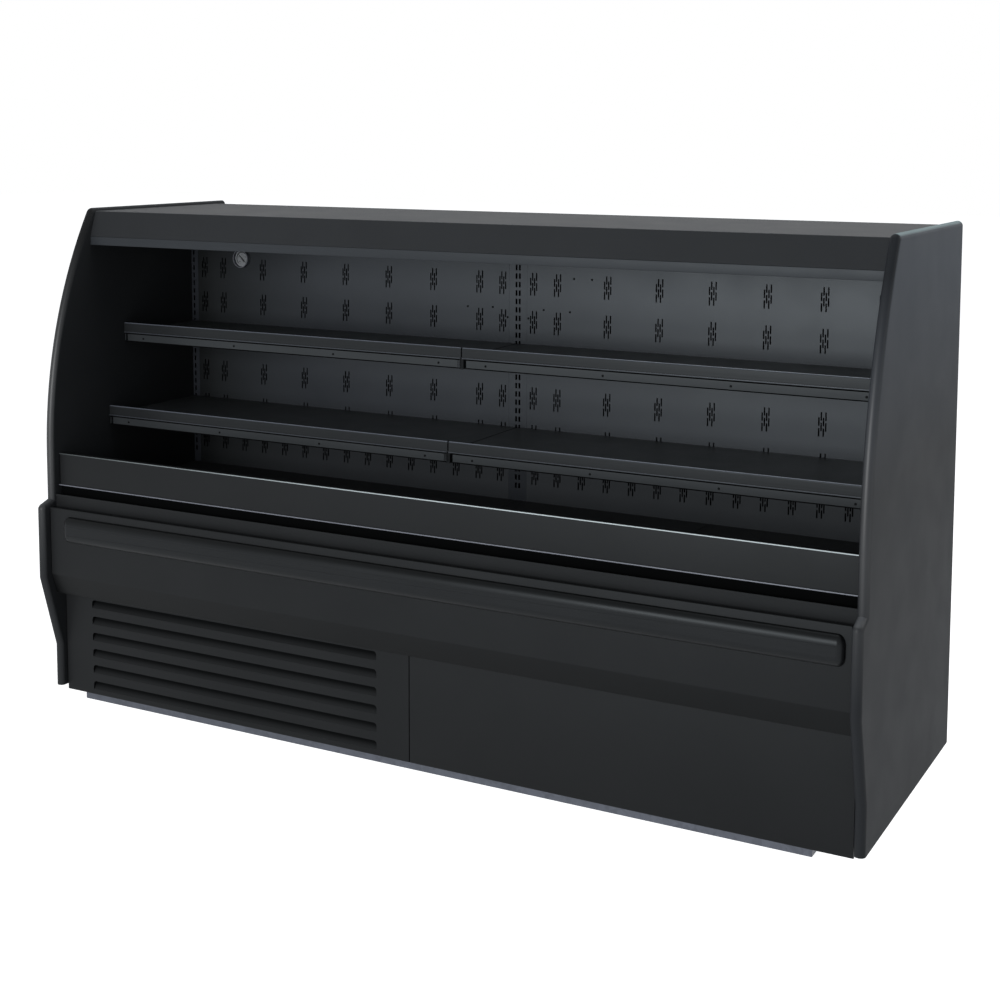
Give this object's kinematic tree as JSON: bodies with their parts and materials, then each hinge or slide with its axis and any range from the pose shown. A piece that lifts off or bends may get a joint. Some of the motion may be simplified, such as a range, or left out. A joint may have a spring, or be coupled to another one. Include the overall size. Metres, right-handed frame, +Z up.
{
  "type": "open multideck display fridge",
  "caption": "Low open-fronted multideck refrigerated display case with curved end panels, two shelf rows, deck pans, bumper and louvred machine cover.",
  "frame": {"origin": "centre of the case's bounding box, on the floor", "axes": "+Z up, +X along the case to the right as seen from the open front, the open front faces -Y"},
  "size_m": [2.52, 0.897, 1.494],
  "materials": {
    "black_paint": "fine textured black powder coat",
    "shelf_paint": "satin black powder coat",
    "strip_plastic": "satin extrusion",
    "bumper_plastic": "satin",
    "galvanised_steel": "galvanised sheet",
    "liner_paint": "satin black powder coat",
    "honeycomb_plastic": "matt",
    "light_aluminium": "anodised",
    "light_diffuser": "diffusing",
    "coil_aluminium": "finned",
    "fan_aluminium": "pressed sheet",
    "motor_paint": "semi gloss black",
    "line_copper": "copper tube",
    "hose_plastic": "matt",
    "dial_case": "satin grey",
    "dial_needle": "black",
    "dial_glass": "clear"
  },
  "bodies": {
    "root": {"air_honeycomb": "honeycomb_plastic", "base_frame": "galvanised_steel", "base_pan": "galvanised_steel", "bumper_bar": "bumper_plastic", "canopy_liner": "liner_paint", "canopy_lip": "black_paint", "compressor": "motor_paint", "condensate_pan": "galvanised_steel", "condenser_coil": "coil_aluminium", "condenser_fan_motor": "motor_paint", "control_box": "galvanised_steel", "deck_riser": "black_paint", "drain_hose": "hose_plastic", "duct_panel_left": "black_paint", "duct_panel_right": "black_paint", "end_panel_left": "black_paint", "end_panel_right": "black_paint", "evaporator_coil": "coil_aluminium", "evaporator_fan_motors": "motor_paint", "evaporator_fan_plate": "galvanised_steel", "fan_shroud": "galvanised_steel", "front_fascia": "black_paint", "front_rail": "black_paint", "insulated_back": "black_paint", "insulated_canopy": "black_paint", "insulated_front": "black_paint", "insulated_tub": "black_paint", "light_housing": "light_aluminium", "light_lens": "light_diffuser", "power_inlet": "hose_plastic", "rear_vent_cover": "galvanised_steel", "refrigerant_lines": "line_copper", "thermometer_case": "dial_case", "thermometer_lens": "dial_glass", "tub_posts": "galvanised_steel", "upright_centre": "shelf_paint", "upright_left": "shelf_paint", "upright_right": "shelf_paint"},
    "shelf_upper_left": {"shelf_upper_left": "shelf_paint", "brackets_upper_left": "shelf_paint", "ticket_strip_upper_left": "strip_plastic"},
    "shelf_upper_right": {"shelf_upper_right": "shelf_paint", "brackets_upper_right": "shelf_paint", "ticket_strip_upper_right": "strip_plastic"},
    "shelf_lower_left": {"shelf_lower_left": "shelf_paint", "brackets_lower_left": "shelf_paint", "ticket_strip_lower_left": "strip_plastic"},
    "shelf_lower_right": {"shelf_lower_right": "shelf_paint", "brackets_lower_right": "shelf_paint", "ticket_strip_lower_right": "strip_plastic"},
    "deck_pan_1": {"deck_pan_1": "shelf_paint"},
    "deck_pan_2": {"deck_pan_2": "shelf_paint"},
    "deck_pan_3": {"deck_pan_3": "shelf_paint"},
    "deck_pan_4": {"deck_pan_4": "shelf_paint"},
    "louvre_panel": {"louvre_panel": "black_paint"},
    "lower_right_panel": {"lower_right_panel": "black_paint"},
    "condenser_fan": {"condenser_fan": "fan_aluminium"},
    "evaporator_fan_1": {"evaporator_fan_1": "fan_aluminium"},
    "evaporator_fan_2": {"evaporator_fan_2": "fan_aluminium"},
    "thermometer_needle": {"thermometer_needle": "dial_needle"}
  },
  "joints": [
    {"name": "shelf_upper_left_lift", "type": "slide", "parent": "root", "child": "shelf_upper_left", "axis": [0, 0, 1], "range_m": [0, 0.008]},
    {"name": "shelf_upper_right_lift", "type": "slide", "parent": "root", "child": "shelf_upper_right", "axis": [0, 0, 1], "range_m": [0, 0.008]},
    {"name": "shelf_lower_left_lift", "type": "slide", "parent": "root", "child": "shelf_lower_left", "axis": [0, 0, 1], "range_m": [0, 0.008]},
    {"name": "shelf_lower_right_lift", "type": "slide", "parent": "root", "child": "shelf_lower_right", "axis": [0, 0, 1], "range_m": [0, 0.008]},
    {"name": "deck_pan_1_lift", "type": "slide", "parent": "root", "child": "deck_pan_1", "axis": [0, 0, 1], "range_m": [0, 0.13]},
    {"name": "deck_pan_2_lift", "type": "slide", "parent": "root", "child": "deck_pan_2", "axis": [0, 0, 1], "range_m": [0, 0.13]},
    {"name": "deck_pan_3_lift", "type": "slide", "parent": "root", "child": "deck_pan_3", "axis": [0, 0, 1], "range_m": [0, 0.13]},
    {"name": "deck_pan_4_lift", "type": "slide", "parent": "root", "child": "deck_pan_4", "axis": [0, 0, 1], "range_m": [0, 0.13]},
    {"name": "louvre_panel_pull", "type": "slide", "parent": "root", "child": "louvre_panel", "axis": [0, -1, 0], "range_m": [0, 0.1]},
    {"name": "lower_right_panel_pull", "type": "slide", "parent": "root", "child": "lower_right_panel", "axis": [0, -1, 0], "range_m": [0, 0.1]},
    {"name": "condenser_fan_spin", "type": "hinge", "parent": "root", "child": "condenser_fan", "pos_m": [-0.62, -0.205, 0.1775], "axis": [0, 1, 0], "continuous": true},
    {"name": "evaporator_fan_1_spin", "type": "hinge", "parent": "root", "child": "evaporator_fan_1", "pos_m": [-0.6, -0.06, 0.488], "axis": [0, 1, 0], "continuous": true},
    {"name": "evaporator_fan_2_spin", "type": "hinge", "parent": "root", "child": "evaporator_fan_2", "pos_m": [0.6, -0.06, 0.488], "axis": [0, 1, 0], "continuous": true},
    {"name": "thermometer_needle_turn", "type": "hinge", "parent": "root", "child": "thermometer_needle", "pos_m": [-1.02, 0.26, 1.315], "axis": [0, 1, 0], "range_deg": [-90, 180], "stiffness_Nm_per_rad": 0.001}
  ]
}
